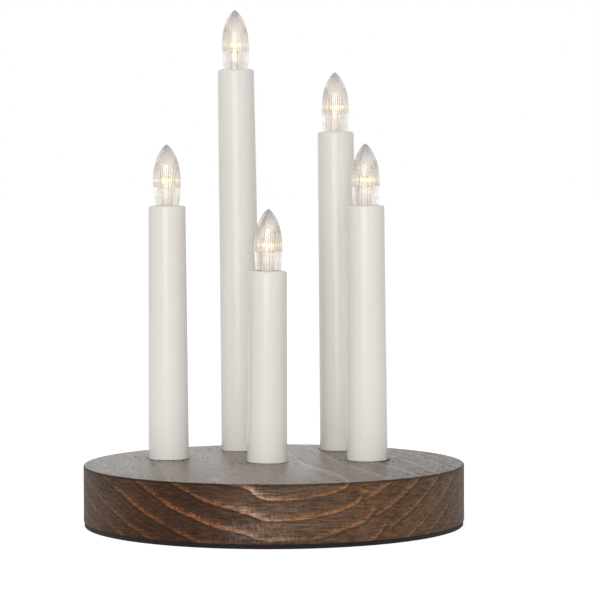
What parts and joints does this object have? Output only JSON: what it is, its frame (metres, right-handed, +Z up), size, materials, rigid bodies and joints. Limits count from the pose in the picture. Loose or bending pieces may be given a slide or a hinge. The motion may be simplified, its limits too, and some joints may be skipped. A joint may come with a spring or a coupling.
{
  "type": "advent candle holder",
  "caption": "Round wood base with LED candles of stepped heights under clear flame-shaped bulbs, and a battery box with cover and slide switch let into its underside.",
  "frame": {"origin": "centre of the underside of the felt pad, on the tabletop", "axes": "+Z up along the base's turning axis, -Y towards the front of the picture, where the shortest candle stands, +X to the right"},
  "size_m": [0.175, 0.175, 0.24],
  "materials": {
    "wood": "grey-brown stained pine, satin on the turned top, darker brown on the sawn side",
    "felt": "near-black felt or foam",
    "candle_plastic": "satin warm white moulded plastic",
    "clear_plastic": "clear, fluted on the inside",
    "led_light": "lit warm white LED",
    "black_plastic": "fine sparked texture",
    "steel": "nickel plated",
    "cell": null,
    "circuit_board": "green solder mask",
    "chip": "black epoxy",
    "capacitor_can": "sleeved can",
    "resistor_body": "lacquered, with colour bands",
    "lead": "insulated twin lead"
  },
  "bodies": {
    "base": {"aa_cell_1": "cell", "aa_cell_2": "cell", "aa_cell_3": "cell", "battery_box": "black_plastic", "box_screw_1": "steel", "box_screw_2": "steel", "box_screw_3": "steel", "box_screw_4": "steel", "bulb_lens_1": "clear_plastic", "bulb_lens_2": "clear_plastic", "bulb_lens_3": "clear_plastic", "bulb_lens_4": "clear_plastic", "bulb_lens_5": "clear_plastic", "candle_foot_1": "candle_plastic", "candle_foot_2": "candle_plastic", "candle_foot_3": "candle_plastic", "candle_foot_4": "candle_plastic", "candle_foot_5": "candle_plastic", "candle_lead_1": "lead", "candle_lead_2": "lead", "candle_lead_3": "lead", "candle_lead_4": "lead", "candle_lead_5": "lead", "candle_tube_1": "candle_plastic", "candle_tube_2": "candle_plastic", "candle_tube_3": "candle_plastic", "candle_tube_4": "candle_plastic", "candle_tube_5": "candle_plastic", "capacitor": "capacitor_can", "cell_bridge_left": "steel", "cell_bridge_right": "steel", "cell_contact_negative": "steel", "cell_contact_positive": "steel", "cell_lead_negative": "lead", "cell_lead_positive": "lead", "cell_spring_1": "steel", "cell_spring_2": "steel", "cell_spring_3": "steel", "felt_pad": "felt", "led_1": "led_light", "led_2": "led_light", "led_3": "led_light", "led_4": "led_light", "led_5": "led_light", "led_holder_1": "candle_plastic", "led_holder_2": "candle_plastic", "led_holder_3": "candle_plastic", "led_holder_4": "candle_plastic", "led_holder_5": "candle_plastic", "resistor_1": "resistor_body", "resistor_2": "resistor_body", "switch_body": "steel", "timer_board": "circuit_board", "timer_chip": "chip", "wood_base": "wood"},
    "battery_cover": {"battery_cover": "black_plastic"},
    "switch_knob": {"switch_knob": "black_plastic"}
  },
  "joints": [
    {"name": "cover_lift_off", "type": "slide", "parent": "base", "child": "battery_cover", "axis": [0, 0, -1], "range_m": [0, 0.03]},
    {"name": "switch_slide", "type": "slide", "parent": "base", "child": "switch_knob", "axis": [1, 0, 0], "range_m": [-0.002, 0.002]}
  ]
}
